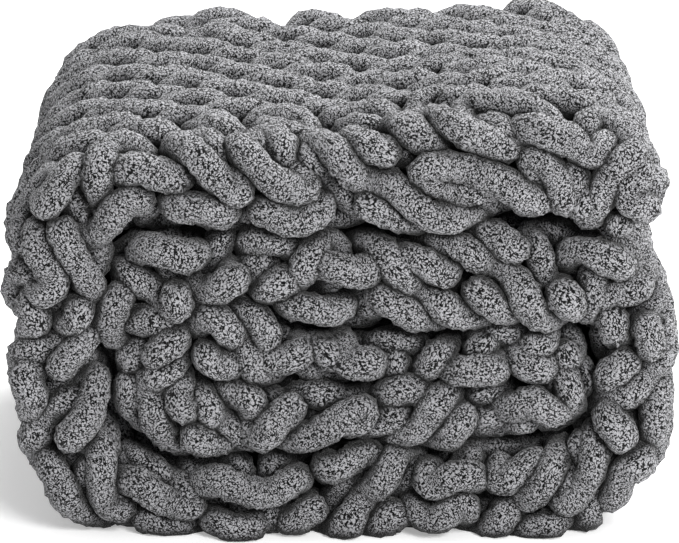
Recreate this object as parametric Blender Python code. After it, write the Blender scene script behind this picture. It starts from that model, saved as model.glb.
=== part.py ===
# A chunky knit blanket of thick chenille yarn, folded to a band with a round fold along both edges and rolled up.
# The bundle lies on its side. The axis of the roll runs front to back, along Y, so the front and the back end
# show the spiral of the band's turns, and knitted ridges run round the roll.
# Metres, +Z up. The origin is the middle of the footprint, on the surface that the bundle rests on.

import math

import bmesh
import bpy
import numpy as np

MM = 0.001

# Yarn and knitting
ROW_PITCH = 20 * MM  # one ridge of the knitting, along the roll's axis: one yarn beside the next
STITCH_PITCH = 48 * MM  # one stitch, round the roll
RIDGE_HEIGHT = 4 * MM  # how far a ridge stands over the mean surface, and a furrow lies under it
RIDGE_SWAY = 2.5 * MM  # how far a ridge winds to and fro along the axis, once a stitch
LOOP_BULGE = 9 * MM  # how far the loops of the end folds stand out

# Bundle
ROLL_DEPTH = 350 * MM  # along the axis, over the folds
RIDGES = int(ROLL_DEPTH / ROW_PITCH) - 1  # ridges between the front fold and the back fold
END_ROUND = 22 * MM  # how quickly the band's two cut ends round off
FOLD_REACH = 0.65  # how far a fold reaches past its edges, as a share of half the band's thickness

# Spacing of the sections along the band
OUTER_STEP = STITCH_PITCH / 4
INNER_STEP = STITCH_PITCH / 6
FOLD_STEPS = 6  # faces round a fold

YARN_GREY = (0.135, 0.135, 0.138, 1.0)

# The middle line of the band in the front view, from the free flap inwards, as a line with rounded bends.
# Columns: name, x, z, radius of the bend, thickness of the band, how far its end folds stand out, and how much further
# out the outer face lies at the back than at the front, because the top layer lies twisted. Millimetres.
WINDING = [
    ("flap end", 164, 181, 0, 46, 1, 0),
    ("flap shoulder", 162, 223, 40, 60, 3, 2),
    ("over the top, right", 92, 223, 120, 75, 2, -6),
    ("over the top, middle", 0, 207, 160, 59, 1, 10),
    ("over the top, left", -85, 209, 110, 54, 0, 14),
    ("top left shoulder", -165, 203, 42, 53, 0, 7),
    ("left side", -165, 110, 150, 53, -1, 2),
    ("bottom left corner", -160, 20, 48, 52, -2, 0),
    ("under the left", -80, 17, 200, 52, -2, 0),
    ("under the middle", 0, 21, 300, 62, -1, 0),
    ("bottom right corner", 166, 20, 56, 54, 0, 0),
    ("right side", 172, 102, 60, 45, 1, 0),
    ("under the flap", 163, 150, 36, 50, 0, 0),
    ("second top, right", 88, 153, 160, 56, -1, 0),
    ("second top, middle", 0, 146, 160, 56, -2, 0),
    ("second top, left", -50, 158, 60, 41, -2, 0),
    ("second shoulder", -112, 157, 30, 47, -3, 0),
    ("inner left side", -112, 110, 60, 49, -3, 0),
    ("inner bottom left", -104, 66, 30, 38, -2, 0),
    ("inner bottom", 0, 72, 200, 34, -1, 0),
    ("inner bottom right", 128, 73, 17, 30, 0, 0),
    ("inner right", 128, 109, 17, 30, -1, 0),
    ("centre", -10, 102, 150, 23, -3, 0),
    ("inner end", -74, 116, 0, 46, -3, 0),
]
LAST_RIDGED_BEND = "second top, right"  # further in, the outer face is hidden and plain


def unit(vector):
    return vector / np.linalg.norm(vector)


def wound_line():
    # Straight runs joined by circular arcs, and the length along the line at the middle of each bend.
    corners = np.array([(row[1], row[2]) for row in WINDING], dtype=float) * MM
    radii = [row[3] * MM for row in WINDING]
    points = [corners[0]]
    marks = [0.0]
    for before, here, after, radius in zip(corners, corners[1:], corners[2:], radii[1:]):
        into, out = unit(here - before), unit(after - here)
        turn = math.atan2(into[0] * out[1] - into[1] * out[0], float(np.dot(into, out)))
        start = here - into * radius * math.tan(abs(turn) / 2)
        side = math.copysign(1, turn)
        to_start = side * radius * np.array((into[1], -into[0]))
        centre = start - to_start
        steps = max(2, 2 * math.ceil(abs(turn) / math.radians(8)))
        for step in range(steps + 1):
            angle = turn * step / steps
            cos, sin = math.cos(angle), math.sin(angle)
            spoke = np.array((cos * to_start[0] - sin * to_start[1], sin * to_start[0] + cos * to_start[1]))
            points.append(centre + spoke)
            if 2 * step == steps:
                marks.append(path_length(points))
    points.append(corners[-1])
    marks.append(path_length(points))
    return np.array(points), np.array(marks)


def path_length(points):
    return float(np.linalg.norm(np.diff(np.array(points), axis=0), axis=1).sum())


def sections():
    # One dictionary for each section of the band: its place, its outward direction, and its row's values.
    points, marks = wound_line()
    along = np.concatenate(([0.0], np.cumsum(np.linalg.norm(np.diff(points, axis=0), axis=1))))
    names = [row[0] for row in WINDING]
    last_ridged = marks[names.index(LAST_RIDGED_BEND)]
    total = along[-1]
    outer = np.arange(0, last_ridged, OUTER_STEP)
    inner_count = math.ceil((total - outer[-1]) / INNER_STEP)
    inner = np.linspace(outer[-1], total, inner_count + 1)[1:]
    lead = [END_ROUND * share for share in (0.12, 0.35, 0.7)]
    stops = np.concatenate((outer[:1], lead, outer[2:], inner))
    found = []
    for s in stops:
        here = np.array([np.interp(s, along, points[:, axis]) for axis in (0, 1)])
        ahead = np.array([np.interp(s + MM, along, points[:, axis]) for axis in (0, 1)])
        behind = np.array([np.interp(s - MM, along, points[:, axis]) for axis in (0, 1)])
        heading = unit(ahead - behind)
        to_end = min(s, total - s)
        rounding = math.sqrt(1 - (1 - min(1, (to_end + MM) / END_ROUND)) ** 2)
        found.append({
            "s": s,
            "place": here,
            "outward": np.array((heading[1], -heading[0])),
            "half": np.interp(s, marks, [row[4] for row in WINDING]) * MM / 2 * rounding,
            "stand": np.interp(s, marks, [row[5] for row in WINDING]) * MM,
            "twist": np.interp(s, marks, [row[6] for row in WINDING]) * MM * rounding,
            "relief": rounding * min(1, max(0, (last_ridged - s) / STITCH_PITCH)),
            "loops": rounding,
            "ridged": s <= outer[-1],
        })
    return found


def fold_points(section, side):
    # A round fold at the front (side -1) or the back (side +1), from the inner face to the outer face. A slanting loop
    # of yarn stands out of it once a stitch.
    points = []
    depth = ROLL_DEPTH / 2 + section["stand"] - LOOP_BULGE
    half = section["half"]
    reach = FOLD_REACH * half
    wave = math.tau * section["s"] / STITCH_PITCH
    for step in range(FOLD_STEPS + 1):
        angle = math.pi * (step / FOLD_STEPS - 0.5)
        slant = math.pi * 0.75 * math.sin(angle)
        bulge = LOOP_BULGE * section["loops"] * math.cos(angle) * (0.5 + 0.5 * math.cos(wave + slant * side))
        y = side * (depth - reach + reach * math.cos(angle) + bulge)
        twist = section["twist"] * max(0, math.sin(angle)) if side > 0 else 0
        points.append((half * math.sin(angle) + twist, y))
    return points


def ridge_points(section, front, back):
    # The outer face between the folds: a furrow and a ridge by turns. Each ridge winds to and fro and swells once a
    # stitch, half a stitch out of step with its neighbours.
    points = []
    spacing = (back - front) / (2 * RIDGES)
    for count in range(1, 2 * RIDGES):
        is_ridge = count % 2 == 1
        wave = math.tau * section["s"] / STITCH_PITCH + math.pi * (count // 2)
        swell = 0.85 + 0.15 * math.cos(2 * wave) if is_ridge else -1
        sway = RIDGE_SWAY * math.sin(wave)
        out = section["half"] + RIDGE_HEIGHT * section["relief"] * swell - RIDGE_HEIGHT * section["relief"]
        out += section["twist"] * count / (2 * RIDGES)
        points.append((out, front + spacing * count + sway * section["relief"]))
    return points


def loop_of(section):
    # The closed outline of one section: front fold, outer face, back fold. The inner face is plain. What would sink
    # into the surface under the bundle is pressed flat on it.
    front = fold_points(section, -1)
    back = fold_points(section, 1)[::-1]
    middle = ridge_points(section, front[-1][1], back[0][1]) if section["ridged"] else []
    placed = []
    for out, y in front + middle + back:
        x, z = section["place"] + section["outward"] * out
        placed.append((x, y, max(z, 0)))
    return placed


def join_loops(mesh, loop_a, loop_b):
    # A skin between two neighbouring outlines. Where the first has ridges and the second has none, their points fan
    # out from the two edges of the second outline's outer face.
    fold = FOLD_STEPS + 1
    if len(loop_a) == len(loop_b):
        count = len(loop_a)
        pairs = [(index, (index + 1) % count) for index in range(count)]
        for index, after in pairs:
            mesh.faces.new((loop_a[index], loop_a[after], loop_b[after], loop_b[index]))
        return
    for index in range(fold - 1):
        mesh.faces.new((loop_a[index], loop_a[index + 1], loop_b[index + 1], loop_b[index]))
        end_a, end_b = len(loop_a) - 1 - index, len(loop_b) - 1 - index
        mesh.faces.new((loop_a[end_a - 1], loop_a[end_a], loop_b[end_b], loop_b[end_b - 1]))
    mesh.faces.new((loop_a[-1], loop_a[0], loop_b[0], loop_b[-1]))
    first, last = fold - 1, len(loop_a) - fold
    middle = (first + last) // 2
    for index in range(first, last):
        near = loop_b[fold - 1] if index < middle else loop_b[fold]
        mesh.faces.new((loop_a[index], loop_a[index + 1], near))
    mesh.faces.new((loop_b[fold - 1], loop_a[middle], loop_b[fold]))


def centred(loops):
    # The whole outline moved so that the origin is at the middle of the footprint.
    points = np.concatenate([np.array(loop) for loop in loops])
    middle = (points.min(axis=0) + points.max(axis=0)) / 2
    shift = np.array((middle[0], middle[1], points[:, 2].min()))
    return [np.array(loop) - shift for loop in loops]


def chenille():
    material = bpy.data.materials.new("chenille yarn")
    material.use_nodes = True
    shader = material.node_tree.nodes["Principled BSDF"]
    shader.inputs["Base Color"].default_value = YARN_GREY
    shader.inputs["Roughness"].default_value = 0.95
    shader.inputs["Metallic"].default_value = 0.0
    material.diffuse_color = YARN_GREY
    return material


def blanket():
    mesh = bmesh.new()
    rings = [[mesh.verts.new(point) for point in loop] for loop in centred([loop_of(s) for s in sections()])]
    for ring_a, ring_b in zip(rings, rings[1:]):
        join_loops(mesh, ring_a, ring_b)
    mesh.faces.new(rings[0][::-1])
    mesh.faces.new(rings[-1])
    bmesh.ops.recalc_face_normals(mesh, faces=mesh.faces)
    bmesh.ops.triangulate(mesh, faces=mesh.faces, quad_method="SHORT_EDGE")
    data = bpy.data.meshes.new("blanket")
    mesh.to_mesh(data)
    mesh.free()
    data.materials.append(chenille())
    data.shade_smooth()
    data.set_sharp_from_angle(angle=math.radians(80))
    piece = bpy.data.objects.new("blanket", data)
    bpy.context.scene.collection.objects.link(piece)
    return piece


for leftover in list(bpy.data.objects):
    bpy.data.objects.remove(leftover, do_unlink=True)
blanket()
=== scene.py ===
import math

import bpy
import numpy as np
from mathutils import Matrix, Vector


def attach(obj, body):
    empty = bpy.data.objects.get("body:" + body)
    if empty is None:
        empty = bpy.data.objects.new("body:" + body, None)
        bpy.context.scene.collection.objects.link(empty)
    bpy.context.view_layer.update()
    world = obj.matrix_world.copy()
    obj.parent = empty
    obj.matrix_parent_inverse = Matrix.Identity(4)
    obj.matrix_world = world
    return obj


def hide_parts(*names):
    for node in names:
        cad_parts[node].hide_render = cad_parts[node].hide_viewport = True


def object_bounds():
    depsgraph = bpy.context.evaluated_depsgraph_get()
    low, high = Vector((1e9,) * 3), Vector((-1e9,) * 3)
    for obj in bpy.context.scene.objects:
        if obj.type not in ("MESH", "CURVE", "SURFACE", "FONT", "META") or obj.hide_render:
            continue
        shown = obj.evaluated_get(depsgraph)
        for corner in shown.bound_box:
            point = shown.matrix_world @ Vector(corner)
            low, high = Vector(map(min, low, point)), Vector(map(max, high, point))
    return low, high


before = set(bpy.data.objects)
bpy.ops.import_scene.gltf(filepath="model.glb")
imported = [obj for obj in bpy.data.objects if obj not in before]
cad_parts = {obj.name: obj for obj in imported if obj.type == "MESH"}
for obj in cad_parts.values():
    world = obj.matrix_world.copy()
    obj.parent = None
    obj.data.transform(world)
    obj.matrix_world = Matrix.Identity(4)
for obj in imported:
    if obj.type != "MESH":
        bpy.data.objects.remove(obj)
cadBox = [list(corner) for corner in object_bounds()]
mm = 0.001
tau = 2 * math.pi

# The band's middle line in the front view, from the free flap inwards. It is the solid's own, but for the flap
# end, the two bottom corners, the right side and the twist over the top, which lie up to 5 mm off it.
# Columns: name, x, z, bend radius, thickness, how far the end folds stand out, how much further out the outer
# face lies at the back (mm), how far the folds' stitches slant along the band (percent), and how far the yarn
# presses into the next turn (mm).
windingRows = [
    ("flap end", 161, 181, 0, 44, 1, 0, 0, 2),
    ("flap shoulder", 162, 223, 40, 60, 3, 2, 20, 3),
    ("over the top, right", 92, 223, 120, 75, 2, -11, 125, 3),
    ("over the top, middle", 0, 207, 160, 59, 1, 10, 90, 4),
    ("over the top, left", -85, 209, 110, 54, 0, 13, 20, 4),
    ("top left shoulder", -165, 203, 42, 53, 0, 7, -60, 9),
    ("left side", -165, 110, 150, 53, -1, 2, 0, 4.5),
    ("bottom left corner", -163, 20, 48, 52, -2, 0, 40, 8),
    ("under the left", -80, 17, 200, 52, -2, 0, 60, 4.5),
    ("under the middle", 0, 21, 300, 62, -1, 0, -20, 4.5),
    ("bottom right corner", 163, 20, 56, 54, 0, 0, -50, 6),
    ("right side", 171, 102, 60, 45, 1, 0, 20, 5),
    ("under the flap", 163, 150, 36, 50, 0, 0, 10, 5),
    ("second top, right", 88, 153, 160, 56, -1, 0, 70, 3.5),
    ("second top, middle", 0, 146, 160, 56, -2, 0, 55, 4),
    ("second top, left", -50, 158, 60, 41, -2, 0, -40, 4),
    ("second shoulder", -112, 157, 30, 47, -3, 0, -30, 7),
    ("inner left side", -112, 110, 60, 49, -3, 0, 30, 4.5),
    ("inner bottom left", -104, 66, 30, 38, -2, 0, 40, 7),
    ("inner bottom", 0, 72, 200, 34, -1, 0, -50, 6),
    ("inner bottom right", 128, 73, 17, 30, 0, 0, 0, 5),
    ("inner right", 128, 109, 17, 30, -1, 0, 0, 5),
    ("centre", -10, 102, 150, 23, -3, 0, 30, 6.5),
    ("inner end", -74, 116, 0, 46, -3, 0, 0, 7),
]

bundle = {
    "depth": 350 * mm,  # along the roll's axis, over the folds
    "endInset": 20 * mm,  # where the knitting turns round the flap's cut end
    "innerInset": 9 * mm,  # and round the inner one
    "lastRidged": "second top, right",  # past it the outer face is hidden
    "showsOver": 60 * mm,  # how long before that the outer face stops keeping to the band's own thickness
    "sample": 2 * mm,  # spacing of the band's values
    "softLine": 4,  # samples to each side that the line is smoothed over
    "softRows": 8,  # and the values of the rows
}

knit = {
    "yarn": 18.4 * mm,  # diameter of the chenille yarn
    "stitch": 48 * mm,  # along the roll
    "perStitch": 44,  # points of the yarn's line in one stitch
    "courses": 17,  # rows round the band's section, two ridges each
    "foldStretch": 0.27,  # how far rows are pulled apart over a fold, as a share of the section's half height
    "foldSpread": 0.28,  # over how many rows
    "loopHeight": 0.75,  # half the height of a loop, in rows
    "foldLoopHeight": 0.70,
    "lean": 10 * mm,  # how far a loop's neck closes in, on the flat faces
    "foldLean": 4.5 * mm,
    "flare": 3 * mm,  # how much wider the loops are at one end than at the other
    "tilt": 0.1,  # how far a loop's head lies aslant, in rows
    "foldTilt": 0.4,  # the same on the folds, times their slant
    "reach": 35 * mm,  # how far from the middle of a fold its stitches slant; past it the slant fades away
    "backSlant": 0.55,  # share of the slants, and of the strands' wander in depth, that the back fold keeps
    "backCalm": 0.4,
    "proud": 1.2 * mm,  # furthest that a crest stands out
    "dive": 13 * mm,  # how deep the legs sink behind the ridges
    "foldDive": 10 * mm,
    "corner": 9 * mm,  # bend of the yarn's line at the edges of a fold
    "ring": 3.2 * mm,  # spacing of the yarn's rings on the folds, and the faces round each
    "sides": 20,
    "plainRing": 3.6 * mm,  # on the flat faces
    "plainSides": 16,
    "fuzz": 0.6 * mm,  # how unevenly the tufts stand out
    "seed": 41,
}

# each strand's own wander: how many sines, their size, and their fastest rate
ownWaves = {
    "alongBand": (5, 1.2 * mm, 1.3),
    "acrossRows": (5, 0.02, 1.1),
    "inDepth": (5, 0.7 * mm, 1.6),
    "thickness": (6, 0.07, 1.4),
}
thickWave = 7 * mm  # length along the yarn to which the rates of its thickness refer

# the wander that neighbouring rows share: its size, and its shortest wave along the band
drifts = {"aside": (6 * mm, 150 * mm), "across": (0.09, 130 * mm), "under": (2.4 * mm, 80 * mm),
          "flare": (1.0, 100 * mm), "height": (0.07, 80 * mm), "slant": (0.3, 160 * mm)}
driftRows = 3.2  # its shortest wave across the rows


def unitRows(v):
    return v / np.maximum(np.linalg.norm(v, axis=-1, keepdims=True), 1e-12)


def runningLength(points):
    # length of the line up to each of its points
    return np.concatenate(([0.0], np.cumsum(np.linalg.norm(np.diff(points, axis=0), axis=1))))


def readAt(stops, length, values):
    # three columns of values, read at the stops
    return np.stack([np.interp(stops, length, values[:, axis]) for axis in range(3)], axis=-1)


def windingLine():
    # straight runs with a circular arc at each bend; also the length at the middle of each bend
    corners = np.array([row[1:3] for row in windingRows], float) * mm
    radii = [row[3] * mm for row in windingRows]
    points, marks = [corners[0]], [0.0]
    for before, here, after, radius in zip(corners, corners[1:], corners[2:], radii[1:]):
        into, out = unitRows(here - before), unitRows(after - here)
        turn = math.atan2(into[0] * out[1] - into[1] * out[0], float(into @ out))
        start = here - into * radius * math.tan(abs(turn) / 2)
        spoke = math.copysign(radius, turn) * np.array((into[1], -into[0]))
        angle = np.linspace(0, turn, 2 * math.ceil(abs(turn) / math.radians(4)) + 3)
        arc = (start - spoke) + np.stack((np.cos(angle) * spoke[0] - np.sin(angle) * spoke[1],
                                          np.sin(angle) * spoke[0] + np.cos(angle) * spoke[1]), axis=-1)
        half = len(arc) // 2 + 1
        points.extend(arc[:half])
        marks.append(lineLength(points))
        points.extend(arc[half:])
    points.append(corners[-1])
    marks.append(lineLength(points))
    return np.array(points), np.array(marks)


def lineLength(points):
    return float(np.linalg.norm(np.diff(np.array(points), axis=0), axis=1).sum())


# the band as arrays over s, the length along its middle line
linePoints, lineMarks = windingLine()
lineAlong = runningLength(linePoints)
bandLength = float(lineAlong[-1])
bandS = np.arange(0, bandLength, bundle["sample"])
rowNames = [row[0] for row in windingRows]
lastRidged = float(lineMarks[rowNames.index(bundle["lastRidged"])])


def smoothed(values, reach):
    # running mean over 2 * reach + 1 samples, ends held
    padded = np.pad(values, reach, mode="edge")
    return np.convolve(padded, np.ones(2 * reach + 1) / (2 * reach + 1), mode="valid")


def bandTable():
    # the middle line's place and heading, and the rows' values, moved sideways to lie midway in the CAD box
    found = {"x": smoothed(np.interp(bandS, lineAlong, linePoints[:, 0]), bundle["softLine"]),
             "z": smoothed(np.interp(bandS, lineAlong, linePoints[:, 1]), bundle["softLine"])}
    heading = unitRows(np.stack((np.gradient(found["x"]), np.gradient(found["z"])), axis=-1))
    found["tx"], found["tz"] = heading[:, 0], heading[:, 1]
    columns = (("half", 4, 0.5 * mm), ("stand", 5, mm), ("twist", 6, mm), ("slant", 7, 0.01), ("crowd", 8, mm))
    for name, column, scale in columns:
        values = [row[column] * scale for row in windingRows]
        found[name] = smoothed(np.interp(bandS, lineMarks, values), bundle["softRows"])
    reach = np.abs(heading[:, 1]) * found["half"]
    left = (found["x"] - reach - np.abs(heading[:, 1]) * found["twist"]).min()
    right = (found["x"] + reach + np.abs(heading[:, 1]) * found["twist"]).max()
    found["x"] = found["x"] + (cadBox[0][0] + cadBox[1][0]) / 2 - (left + right) / 2
    return found


band = bandTable()


def along(name, s):
    return np.interp(s, bandS, band[name])


def yarnSection(s):
    # The line that the ridges' middles follow round the section: a long rectangle with round corners. Its
    # half height, corner radius, half depth, and a quarter of its length.
    half = along("half", s)
    height = np.maximum(half - knit["yarn"] / 2 + along("crowd", s), 7 * mm)
    corner = np.minimum(height, knit["corner"])
    deep = bundle["depth"] / 2 + along("stand", s) - knit["yarn"] / 2
    quarter = height + deep - (2 - math.pi / 2) * corner
    return height, corner, deep, quarter


def sectionPoint(s, v, depth):
    # A point of the section: v is the length round it from the middle of the front fold, positive over the
    # outer face and negative over the inner one; depth is how far under the ridges' middle line it lies.
    height, corner, deep, quarter = yarnSection(s)
    side = np.where(v < 0, -1.0, 1.0)
    w = np.abs(v)
    back = w > quarter
    w = np.where(back, 2 * quarter - w, w)
    rise = height - corner
    angle = np.clip((w - rise) / corner, 0, math.pi / 2)
    out = np.minimum(w, rise) + corner * np.sin(angle)
    y = deep - corner + corner * np.cos(angle) - np.maximum(w - rise - corner * math.pi / 2, 0)
    # the normal turns a little ahead of and behind the corner, so that loops don't crease there
    soft = np.clip((w - rise * 0.35) / (corner * math.pi / 2 + rise * 0.65), 0, 1) * math.pi / 2
    nOut, nY = np.sin(soft), np.cos(soft)
    out, y = out - depth * nOut, y - depth * nY
    front = np.where(back, 1.0, -1.0)
    # the outer face lies further out towards the back, as far as the band is twisted
    towardsBack = np.clip(0.5 + front * y / bundle["depth"], 0, 1)
    turned = along("twist", s) * towardsBack * np.where(side > 0, nOut, 0)
    # and the faces that show keep to the band's own thickness
    shown = np.clip((lastRidged - s) / bundle["showsOver"], 0, 1) * np.where(side > 0, 1, 0)
    return side * (out - along("crowd", s) * shown) + turned, front * y, side * nOut, front * nY


def onFold(k):
    # 1 on the front and back folds, 0 on the flat faces, smooth between; k counts rows from the front fold
    rows = knit["courses"]
    k = np.abs((k + rows / 2) % rows - rows / 2)
    away = np.clip((np.minimum(k, rows / 2 - k) - 0.25) / 0.7, 0, 1)
    return 1 - away * away * (3 - 2 * away)


def roundSection(s, k):
    # Rows to length round the section. Rows lie evenly but for the folds, where a hyperbolic tangent spreads
    # them.
    height, _, _, quarter = yarnSection(s)
    rows = knit["courses"]
    k = (k + rows / 2) % rows - rows / 2
    a = np.abs(k)
    back = a > rows / 4
    a = np.where(back, rows / 2 - a, a)
    stretch = knit["foldStretch"] * (height + knit["yarn"] / 2)
    w = (quarter - stretch) / (rows / 4) * a + stretch * np.tanh(a / knit["foldSpread"])
    w = np.where(back, 2 * quarter - w, w)
    return np.where(k < 0, -w, w)


def placeInBand(s, out, y, nOut, nY):
    # Section coordinates to space. Past a cut end of the band, s runs on round the end as an angle.
    low, high = bundle["endInset"], bandLength - bundle["innerInset"]
    inside = np.clip(s, low, high)
    tx, tz = along("tx", inside), along("tz", inside)
    nx, nz = tz, -tx
    over = np.where(s < low, low - s, np.where(s > high, s - high, 0.0))
    ahead = np.where(s < low, -1.0, 1.0)
    radius = np.maximum(along("half", inside) - knit["yarn"] / 2, 6 * mm)
    phi = np.clip(over / radius, 0, math.pi / 2 * 1.05)
    cos, sin = np.cos(phi), np.sin(phi)
    reachOut = np.abs(out) * sin * ahead
    point = np.stack((along("x", inside) + nx * out * cos + tx * reachOut, y,
                      along("z", inside) + nz * out * cos + tz * reachOut), axis=-1)
    lift = np.abs(nOut) * sin * ahead
    normal = np.stack((nx * nOut * cos + tx * lift, nY, nz * nOut * cos + tz * lift), axis=-1)
    return point, unitRows(normal)


# stitches keep their width a little outside the band's middle line, so that they open on bends and close
# inside them
stitchOffset = 0.45 * band["half"]
bendLine = np.stack((band["x"] + band["tz"] * stitchOffset, band["z"] - band["tx"] * stitchOffset), axis=-1)
stitchAlong = runningLength(bendLine)


def sOfStitch(u):
    # length along the middle line where the knitting has run u; straight on past both ends
    s = np.interp(u, stitchAlong, bandS)
    s = np.where(u < 0, u, s)
    return np.where(u > stitchAlong[-1], bandS[-1] + u - stitchAlong[-1], s)


def waves(rng, t, count, amplitude, fastest):
    # a smooth wander: a few sines of random rate and phase
    rates = rng.uniform(0.25, fastest, count)
    phases = rng.uniform(0, tau, count)
    return amplitude * np.sin(np.outer(t, rates) + phases).sum(axis=1) / math.sqrt(count)


def drift(name, u, k):
    # a slow wander that neighbouring rows share, so that their loops stay linked
    rng = np.random.default_rng(knit["seed"] + sum(map(ord, name)))
    count, (size, fastest) = 9, drifts[name]
    alongRate = rng.uniform(0.2, 1, count) * tau / fastest
    acrossRate = rng.uniform(0.2, 1, count) * tau / driftRows
    phase = rng.uniform(0, tau, count)
    field = np.sin(u[:, None] * alongRate + k[:, None] * acrossRate + phase)
    return size * field.sum(axis=1) * math.sqrt(2 / count)


def flattened(c):
    # one and a half of c less half its cube: a cosine wave with flatter crests and quicker passes between
    return 1.5 * c - 0.5 * c ** 3


def courseLine(course, uStart, uEnd, rng):
    # One row of knitting. Over one stitch, t runs from 0 to a full turn: the yarn goes along by t, the sine of t
    # and the sine of twice t, across by a flattened cosine of t, and sinks behind the ridges by the fourth power
    # of the sine of t. On the folds the whole stitch slants along the band in proportion to its height, less so
    # at the back, and no crest stands out further than knit["proud"].
    pitch = knit["stitch"]
    count = int((uEnd - uStart) / pitch * knit["perStitch"])
    t = np.linspace(tau * uStart / pitch, tau * uEnd / pitch, count)
    base = pitch * t / tau
    row = np.full(count, float(course))
    high = knit["foldLoopHeight"] + (knit["loopHeight"] - knit["foldLoopHeight"]) * (1 - onFold(row))
    fold = onFold(course + high * np.cos(t))
    high = high * (1 + (0.3 + fold) * drift("height", base, row))
    crest = flattened(np.cos(t))
    k = course + high * (fold * crest + (1 - fold) * flattened(crest))
    lean = knit["lean"] + (knit["foldLean"] - knit["lean"]) * fold
    u = base + lean * np.sin(2 * t) + knit["flare"] * drift("flare", base, row) * np.sin(t)
    u = u + drift("aside", u, k) * (0.3 + 0.7 * fold) + waves(rng, t, *ownWaves["alongBand"])
    atBack = course > knit["courses"] / 4
    slant = along("slant", sOfStitch(u)) * (knit["backSlant"] if atBack else 1) + drift("slant", base, row)
    tiltShare = knit["tilt"] * (1 - fold) + knit["foldTilt"] * np.clip(slant, -0.8, 0.8) * fold
    k = k + tiltShare * np.sin(2 * t)
    k = k + drift("across", u, k) * (0.35 + 0.65 * fold) + waves(rng, t, *ownWaves["acrossRows"])
    s = sOfStitch(u)
    dive = knit["dive"] + (knit["foldDive"] - knit["dive"]) * fold
    wander = drift("under", u, k) * (0.3 + 0.7 * fold) * (knit["backCalm"] if atBack else 1)
    depth = dive * np.sin(t) ** 4 + wander + waves(rng, t, *ownWaves["inDepth"])
    depth = np.maximum(depth, -knit["proud"])
    inBand = np.clip(s, 0, bandLength)
    v = roundSection(inBand, k)
    fromFold = np.where(np.abs(v) < 2 * knit["reach"], v, v - np.sign(v) * 2 * yarnSection(inBand)[3])
    fade = np.clip(1.5 - np.abs(fromFold) / knit["reach"] / 2, 0, 1)
    s = s + slant * np.clip(fromFold, -knit["reach"], knit["reach"]) * fade
    inBand = np.clip(s, 0, bandLength)
    v = roundSection(inBand, k)
    out, y, nOut, nY = sectionPoint(inBand, v, depth)
    return placeInBand(s, out, y, nOut, nY)


settling = {
    "spacing": 6 * mm,  # of the spots that push each other
    "near": 30 * mm,  # spots further apart than this aren't compared
    "sameStrand": 32 * mm,  # spots of one strand nearer than this along it don't push each other
    "rounds": 50,
    "share": 0.3,  # of an overlap that one round takes away
    "apart": 0.97,  # of a thickness, on the folds
    "apartFlat": 0.86,  # on the flat faces, where the yarn is squeezed
    "outward": 0.3 * mm,  # furthest outwards
    "furthest": 8 * mm,  # furthest in all
    "evening": 0.25,  # share of the difference between neighbours that is evened out, twice a round
    "block": 400,  # spots compared with all the others at a time
}


def settled(lines):
    # Yarn doesn't run through yarn: spots of two strands that are nearer than one thickness move apart, round
    # by round, by a share of what they overlap. The moves are evened out along each strand, go hardly outwards,
    # and never past the furthest fold at the front and the back.
    spots, outward, strand, at, stopsOf = [], [], [], [], []
    for number, line in enumerate(lines):
        length = runningLength(line["points"])
        stops = np.linspace(0, length[-1], int(length[-1] / settling["spacing"]))
        spots.append(readAt(stops, length, line["points"]))
        outward.append(unitRows(readAt(stops, length, line["normals"])))
        strand.append(np.full(len(stops), number))
        at.append(stops)
        stopsOf.append((length, stops))
    home, outward = np.concatenate(spots), np.concatenate(outward)
    strand, at = np.concatenate(strand), np.concatenate(at)
    first, second = nearPairs(home, strand, at)
    thick = settling["apartFlat"] + (settling["apart"] - settling["apartFlat"]) * np.abs(outward[:, 1])
    need = knit["yarn"] * (thick[first] + thick[second]) / 2
    move = np.zeros_like(home)
    sameAsNext = strand[1:] == strand[:-1]
    deepest = np.abs(home[:, 1]).max()
    for _ in range(settling["rounds"]):
        apart = home[second] + move[second] - home[first] - move[first]
        gap = np.maximum(np.linalg.norm(apart, axis=1), mm)
        push = apart * (np.clip(need - gap, 0, None) / gap * settling["share"])[:, None]
        for axis in range(3):
            forwards = np.bincount(second, push[:, axis], len(home))
            backwards = np.bincount(first, push[:, axis], len(home))
            move[:, axis] += forwards - backwards
        over = np.maximum((move * outward).sum(axis=1) - settling["outward"], 0)
        move = move - outward * over[:, None]
        size = np.linalg.norm(move, axis=1, keepdims=True)
        move = move * np.minimum(1, settling["furthest"] / np.maximum(size, 1e-9))
        move[:, 1] = np.clip(home[:, 1] + move[:, 1], -deepest, deepest) - home[:, 1]
        for _ in range(2):
            step = np.diff(move, axis=0) * sameAsNext[:, None] * settling["evening"]
            move[:-1] += step
            move[1:] -= step
    apart = home[second] + move[second] - home[first] - move[first]
    left = np.clip(need - np.linalg.norm(apart, axis=1), 0, None).mean() / mm
    moved = np.linalg.norm(move, axis=1).mean() / mm
    print("settled: mean overlap left", round(float(left), 2), "mm, mean move", round(float(moved), 2), "mm")
    for number, line in enumerate(lines):
        length, stops = stopsOf[number]
        own = move[strand == number]
        line["points"] = line["points"] + readAt(length, stops, own)


def nearPairs(spots, strand, at):
    # pairs of spots that may touch, found block by block from squared distances
    first, second = [], []
    squares = (spots ** 2).sum(axis=1)
    order = np.arange(len(spots))
    for start in range(0, len(spots), settling["block"]):
        block = order[start:start + settling["block"]]
        distance = squares[block][:, None] + squares[None, :] - 2 * spots[block] @ spots.T
        closeAlong = np.abs(at[block][:, None] - at[None, :]) < settling["sameStrand"]
        own = (strand[block][:, None] == strand[None, :]) & closeAlong
        later = order[None, :] > block[:, None]
        here, there = np.nonzero((distance < settling["near"] ** 2) & later & ~own)
        first.append(block[here])
        second.append(there)
    return np.concatenate(first), np.concatenate(second)


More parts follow.
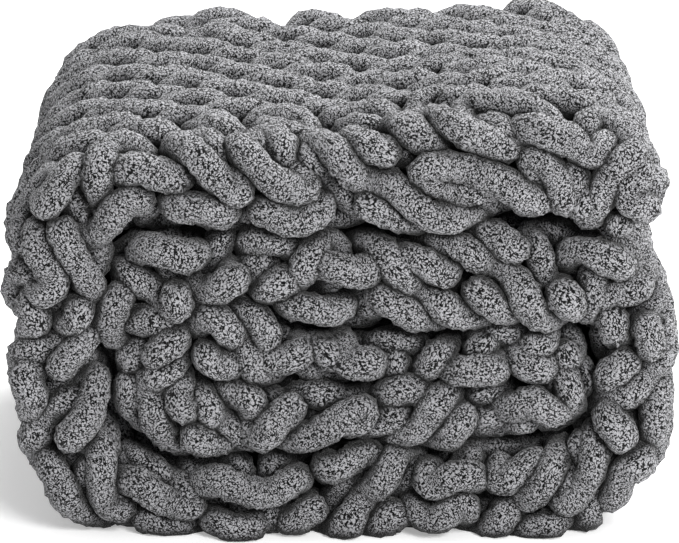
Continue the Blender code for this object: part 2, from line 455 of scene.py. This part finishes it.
def softened(values, reach):
    # three columns, each smoothed
    return np.stack([smoothed(values[:, axis], reach) for axis in range(3)], axis=-1)


def resampled(points, normals, step):
    # the line at even stops, a little smoothed
    length = runningLength(points)
    stops = np.linspace(0, length[-1], max(8, int(length[-1] / step)))
    soft = softened(readAt(stops, length, points), 2)
    return soft, unitRows(softened(readAt(stops, length, normals), 2)), stops


def untwisted(tangent, across):
    # Each ring's frame is carried to the next ring by the smallest turn, and the angles left over are added up
    # and taken off, so that the pile doesn't spin round the yarn.
    before, after, carried = tangent[:-1], tangent[1:], across[:-1]
    axis = np.cross(before, after)
    cos = (before * after).sum(axis=1, keepdims=True)
    carried = (carried * cos + np.cross(axis, carried)
               + axis * (axis * carried).sum(axis=1, keepdims=True) / np.maximum(1 + cos, 1e-6))
    sine = (np.cross(carried, across[1:]) * after).sum(axis=1)
    roll = np.arctan2(sine, (carried * across[1:]).sum(axis=1))
    roll = np.concatenate(([0.0], np.cumsum(roll)))[:, None]
    return across * np.cos(roll) - np.cross(tangent, across) * np.sin(roll)


def yarnTube(points, normals, rng, ringStep, sides):
    # A closed tube along the line with rounded ends. Each ring is a circle in the plane across the yarn; the
    # radius wanders along the yarn and from tuft to tuft. The pile's own coordinates are the length along the
    # yarn and the place on a circle round it.
    points, normals, stops = resampled(points, normals, ringStep)
    count, thick = len(points), knit["yarn"]
    tangent = unitRows(np.gradient(points, axis=0))
    tangent = unitRows(softened(tangent, 1))
    across = untwisted(tangent, unitRows(np.cross(tangent, normals)))
    upward = np.cross(across, tangent)
    radius = thick / 2 * (1 + waves(rng, stops / thickWave, *ownWaves["thickness"]))
    fromEnd = np.minimum(stops, stops[-1] - stops) / (thick / 2)
    radius = radius * np.sqrt(np.clip(1 - (1 - np.minimum(fromEnd, 1)) ** 2, 0.02, 1))
    angle = tau * (np.arange(sides) + 0.5) / sides
    cos, sin = np.cos(angle), np.sin(angle)
    tufts = rng.normal(0, knit["fuzz"], (count, sides))
    ringRadius = radius[:, None] + tufts
    ring = cos[None, :, None] * upward[:, None, :] + sin[None, :, None] * across[:, None, :]
    verts = points[:, None, :] + ringRadius[:, :, None] * ring
    index = np.arange(count * sides).reshape(count, sides)
    turned = np.roll(index, -1, axis=1)
    quads = np.stack((index[:-1], turned[:-1], turned[1:], index[1:]), axis=-1).reshape(-1, 4)
    caps = [list(index[0][::-1]), list(index[-1])]
    pileStart = rng.uniform(0, 1)
    pile = np.broadcast_arrays((stops + pileStart)[:, None], thick / 2 * cos[None, :], thick / 2 * sin[None, :])
    return verts.reshape(-1, 3), quads, caps, np.stack(pile, axis=-1).reshape(-1, 3)


def makePiece(name, tubes):
    # several tubes in one mesh; what would sink into the floor is pressed flat on it
    verts = np.concatenate([tube[0] for tube in tubes])
    verts[:, 2] = np.maximum(verts[:, 2], 0)
    starts = np.cumsum([0] + [len(tube[0]) for tube in tubes[:-1]])
    faces = []
    for start, tube in zip(starts, tubes):
        faces.extend((tube[1] + start).tolist())
        faces.extend([[corner + int(start) for corner in cap] for cap in tube[2]])
    mesh = bpy.data.meshes.new(name)
    mesh.from_pydata(verts.tolist(), [], faces)
    pile = mesh.attributes.new("onYarn", "FLOAT_VECTOR", "POINT")
    pile.data.foreach_set("vector", np.concatenate([tube[3] for tube in tubes]).astype(np.float32).ravel())
    mesh.shade_smooth()
    mesh.update()
    piece = bpy.data.objects.new(name, mesh)
    bpy.context.scene.collection.objects.link(piece)
    return piece


def linearColour(text):
    # sRGB hex to linear
    channels = [int(text[i:i + 2], 16) / 255 for i in (1, 3, 5)]
    return tuple(c / 12.92 if c <= 0.04045 else ((c + 0.055) / 1.055) ** 2.4 for c in channels) + (1.0,)


def addNode(tree, kind, settings=None, inputs=None):
    # one node with its settings, and for each input a value or the socket that feeds it
    node = tree.nodes.new(kind)
    for name, value in (settings or {}).items():
        setattr(node, name, value)
    for name, value in (inputs or {}).items():
        if isinstance(value, bpy.types.NodeSocket):
            tree.links.new(value, node.inputs[name])
        else:
            node.inputs[name].default_value = value
    return node


chenille = {
    "shades": (("#000000", 0.0), ("#0d0d0e", 0.3), ("#636365", 0.62), ("#a3a3a6", 1.0)),  # painted shade in the cracks, through the pile's own greys, to painted light on the tips
    "tuft": 1.45 * mm,  # spacing of the tufts; real ones are 1 to 2.5 mm
    "longer": 0.75,  # tufts and cracks are longer round the yarn than along it
    "patch": 14 * mm,  # slow change of tone along the yarn
    "bump": 1.0 * mm,
    "cracks": (0.365, 0.445),  # heights of the pile between which a crack turns to a tuft
    "tones": (0.3, 1.5),  # sum of pile, grain and patch that the shades span
    "paintedCreaseShade": (0.38, 0.88),  # open share of the view from a spot, from full painted crease shade (black) to none
    "roughness": 0.95,
    "specular": 0.15,
    "sheen": 0.12,
    "sheenRoughness": 0.5,
    "crease": 12 * mm,  # how near another strand must lie for painted shade to darken the pile's colour in the crease between them
}


def chenilleMaterial():
    # Polyester chenille yarn: a dense short pile cut all round a core. To the eye it is matte charcoal, broken
    # into small tufts by thin cracks, longest round the yarn, with a faint velvet edge and no gloss. The cracks'
    # near-black is painted shade and the brightest tips are painted light, over a grey that varies at random;
    # painted shade also darkens the colour where strands lie close.
    material = bpy.data.materials.new("polyesterChenillePile")
    material.use_nodes = True
    tree = material.node_tree
    shader = tree.nodes["Principled BSDF"]
    onYarn = addNode(tree, "ShaderNodeAttribute", {"attribute_name": "onYarn"}).outputs["Vector"]
    place = addNode(tree, "ShaderNodeVectorMath", {"operation": "MULTIPLY"},
                    {0: onYarn, 1: (1.0, chenille["longer"], chenille["longer"])}).outputs[0]
    scale = 1 / chenille["tuft"]
    wobble = addNode(tree, "ShaderNodeTexNoise", {}, {"Vector": place, "Scale": scale * 1.1, "Detail": 1.0})
    wobbled = addNode(tree, "ShaderNodeVectorMath", {"operation": "MULTIPLY_ADD"},
                      {0: wobble.outputs["Color"], 1: (1.5 * chenille["tuft"],) * 3, 2: place})
    edges = addNode(tree, "ShaderNodeTexVoronoi", {"feature": "DISTANCE_TO_EDGE"},
                    {"Vector": wobbled.outputs[0], "Scale": scale})
    fine = addNode(tree, "ShaderNodeTexNoise", {}, {"Vector": place, "Scale": scale * 1.6, "Detail": 2.0})
    patch = addNode(tree, "ShaderNodeTexNoise", {},
                    {"Vector": onYarn, "Scale": 1 / chenille["patch"], "Detail": 2.0})
    # height of the pile: cracks where two cells meet, broken and roughened by noise
    uneven = addNode(tree, "ShaderNodeMath", {"operation": "MULTIPLY_ADD"},
                     {0: fine.outputs["Fac"], 1: 0.6, 2: edges.outputs["Distance"]})
    pile = addNode(tree, "ShaderNodeMapRange", {"interpolation_type": "SMOOTHSTEP"},
                   {"Value": uneven.outputs[0], "From Min": chenille["cracks"][0],
                    "From Max": chenille["cracks"][1]})
    grain = addNode(tree, "ShaderNodeMath", {"operation": "MULTIPLY_ADD"},
                    {0: fine.outputs["Fac"], 1: 0.35, 2: pile.outputs[0]})
    tone = addNode(tree, "ShaderNodeMath", {"operation": "MULTIPLY_ADD"},
                   {0: patch.outputs["Fac"], 1: 0.25, 2: grain.outputs[0]})
    level = addNode(tree, "ShaderNodeMapRange", {},
                    {"Value": tone.outputs[0], "From Min": chenille["tones"][0], "From Max": chenille["tones"][1]})
    # the ramp paints shade into the cracks and light onto the tufts' tips, over the pile's own grey
    ramp = addNode(tree, "ShaderNodeValToRGB", {}, {"Fac": level.outputs[0]})
    stops = ramp.color_ramp.elements
    stops.remove(stops[1])
    stops[0].position, stops[0].color = 0.0, linearColour(chenille["shades"][0][0])
    for shade, position in chenille["shades"][1:]:
        stops.new(position).color = linearColour(shade)
    # painted shade: the colour is darkened where other strands lie near, in the creases between them
    paintedCreaseShade = addNode(tree, "ShaderNodeAmbientOcclusion", {"samples": 6}, {"Distance": chenille["crease"]})
    creaseShadeFactor = addNode(tree, "ShaderNodeMapRange", {"interpolation_type": "SMOOTHSTEP"},
                     {"Value": paintedCreaseShade.outputs["AO"], "From Min": chenille["paintedCreaseShade"][0],
                      "From Max": chenille["paintedCreaseShade"][1]})
    shaded = addNode(tree, "ShaderNodeVectorMath", {"operation": "SCALE"},
                     {0: ramp.outputs["Color"], "Scale": creaseShadeFactor.outputs[0]})
    tree.links.new(shaded.outputs[0], shader.inputs["Base Color"])
    bump = addNode(tree, "ShaderNodeBump", {},
                   {"Strength": 1.0, "Distance": chenille["bump"], "Height": uneven.outputs[0]})
    tree.links.new(bump.outputs["Normal"], shader.inputs["Normal"])
    shader.inputs["Roughness"].default_value = chenille["roughness"]
    shader.inputs["Specular IOR Level"].default_value = chenille["specular"]
    shader.inputs["Sheen Weight"].default_value = chenille["sheen"]
    shader.inputs["Sheen Roughness"].default_value = chenille["sheenRoughness"]
    return material


yarnFinish = chenilleMaterial()


def finishPiece(piece):
    piece.data.materials.append(yarnFinish)
    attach(piece, "root")
    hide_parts("blanket")


endTurn = 26 * mm  # how far the knitting runs on round each cut end
uFirst, uLast = bundle["endInset"] - endTurn, stitchAlong[-1] - bundle["innerInset"] + endTurn
uRidged = float(np.interp(lastRidged, bandS, stitchAlong))


def knittedLines():
    # each course its own seeded wander; the ridges between the folds stop where the next turn hides them
    lines = {}
    for course in range(-2, 10):
        rng = np.random.default_rng(knit["seed"] + 7 * (course % knit["courses"]))
        isRidge = 2 <= course <= 7
        points, normals = courseLine(course, uFirst, uRidged if isRidge else uLast, rng)
        lines[course] = {"points": points, "normals": normals, "rng": rng}
    settled(list(lines.values()))
    return lines


strands = knittedLines()


def knitPiece(name, courses):
    # some rows as one piece, finer where they show on the front fold
    tubes = []
    for course in courses:
        line = strands[course]
        fine = abs(course) < 2
        ringStep = knit["ring"] if fine else knit["plainRing"]
        sides = knit["sides"] if fine else knit["plainSides"]
        tubes.append(yarnTube(line["points"], line["normals"], line["rng"], ringStep, sides))
    piece = makePiece(name, tubes)
    finishPiece(piece)
    print(name, len(piece.data.polygons), "faces")


knitPiece("front_loops", (0, 1))
knitPiece("front_loops_inner", (-2, -1))
knitPiece("back_loops", (8, 9))
knitPiece("ridges_front", (2, 3, 4))
knitPiece("ridges_back", (5, 6, 7))


core = {
    "behindFold": 26 * mm,  # how far it lies behind the loops of the folds
    "behindRidges": 15 * mm,
    "press": 1 * mm,  # behind the folds the turns press on each other and leave no gap
    "step": 8 * mm,
    "around": 48,
    "freeEnd": 60 * mm,  # length of each cut end whose inner face is free as well
    "square": 0.3,  # power of the sine and cosine that gives the section square shoulders
}


def innerCloth():
    # the layers behind the loops: the band's section with square shoulders, drawn in behind the folds and
    # behind the ridges wherever a face is free, and closed at both cut ends
    s = np.arange(bundle["endInset"], bandLength - bundle["endInset"], core["step"])
    share = np.arange(core["around"]) / core["around"]
    grid, part = np.meshgrid(s, share, indexing="ij")
    half = along("half", grid)
    cos, sin = np.cos(tau * part), np.sin(tau * part)
    outerFree = (sin > 0) & (grid < lastRidged)
    endFree = (grid > bandLength - core["freeEnd"]) | (grid < core["freeEnd"])
    drawnIn = np.maximum(half - core["behindRidges"], 2 * mm)
    high = np.where(outerFree | endFree, drawnIn, half + core["press"])
    deep = bundle["depth"] / 2 + along("stand", grid) - core["behindFold"]
    out = high * np.sign(sin) * np.abs(sin) ** core["square"]
    y = deep * np.sign(cos) * np.abs(cos) ** core["square"]
    point, _ = placeInBand(grid, out, y, np.ones_like(out), 0 * y)
    count, sides = grid.shape
    index = np.arange(count * sides).reshape(count, sides)
    turned = np.roll(index, -1, axis=1)
    quads = np.stack((index[:-1], index[1:], turned[1:], turned[:-1]), axis=-1).reshape(-1, 4)
    caps = [list(index[0]), list(index[-1][::-1])]
    return point.reshape(-1, 3), quads, caps, point.reshape(-1, 3)


inner = makePiece("inner_cloth", [innerCloth()])
finishPiece(inner)
print("inner_cloth", len(inner.data.polygons), "faces")


# stage, light and camera
studio = {
    "floor": "#f2f2f2",
    "floorSize": 12,
    "floorPlace": (0, 2, -0.0004),
    "floorRoughness": 0.8,
    "floorGlow": 0.32,
    "paper": "#ffffff",
    "room": 0.46,  # strength of the room as a light
    "lights": (("topLight", (0.6, 0.7, 1.9), 1.2, 84), ("frontLight", (1.2, -2.4, 1.6), 1.0, 94)),
    "litPlace": (0, 0, 0.12),
    "viewDistance": 1.94,
    "elevation": 15.3,
    "azimuth": 0.0,
    "lens": 184,
    "sensor": 36,
    "aim": (0.0, -0.175, 0.160),
}


def makeFloor():
    bpy.ops.mesh.primitive_plane_add(size=studio["floorSize"], location=studio["floorPlace"])
    floor = bpy.context.object
    floor.name = "floor"
    material = bpy.data.materials.new("whitePaper")
    material.use_nodes = True
    shader = material.node_tree.nodes["Principled BSDF"]
    shader.inputs["Base Color"].default_value = linearColour(studio["floor"])
    shader.inputs["Roughness"].default_value = studio["floorRoughness"]
    shader.inputs["Emission Color"].default_value = linearColour(studio["paper"])
    shader.inputs["Emission Strength"].default_value = studio["floorGlow"]
    floor.data.materials.append(material)


def makeWorld():
    world = bpy.data.worlds.new("softRoom")
    bpy.context.scene.world = world
    world.use_nodes = True
    background = world.node_tree.nodes["Background"]
    background.inputs["Color"].default_value = linearColour(studio["paper"])
    # white to the eye, dimmer as a light
    seen = addNode(world.node_tree, "ShaderNodeLightPath")
    strength = addNode(world.node_tree, "ShaderNodeMapRange", {},
                       {"Value": seen.outputs["Is Camera Ray"], "To Min": studio["room"], "To Max": 1.0})
    world.node_tree.links.new(strength.outputs[0], background.inputs["Strength"])


def addLight(name, place, size, power):
    data = bpy.data.lights.new(name, "AREA")
    data.shape = "SQUARE"
    data.size = size
    data.energy = power
    light = bpy.data.objects.new(name, data)
    bpy.context.scene.collection.objects.link(light)
    light.location = place
    light.rotation_euler = (Vector(studio["litPlace"]) - Vector(place)).to_track_quat("-Z", "Y").to_euler()


def makeCamera():
    data = bpy.data.cameras.new("camera")
    data.lens = studio["lens"]
    data.sensor_width = studio["sensor"]
    data.sensor_fit = "HORIZONTAL"
    camera = bpy.data.objects.new("camera", data)
    bpy.context.scene.collection.objects.link(camera)
    rise, turn = math.radians(studio["elevation"]), math.radians(studio["azimuth"])
    aim = Vector(studio["aim"])
    away = Vector((math.sin(turn) * math.cos(rise), -math.cos(turn) * math.cos(rise), math.sin(rise)))
    camera.location = aim + away * studio["viewDistance"]
    camera.rotation_euler = (-away).to_track_quat("-Z", "Y").to_euler()
    bpy.context.scene.camera = camera


makeFloor()
makeWorld()
for name, place, size, power in studio["lights"]:
    addLight(name, place, size, power)
makeCamera()
bpy.context.scene.view_settings.view_transform = "Standard"
print("stage, light and camera")
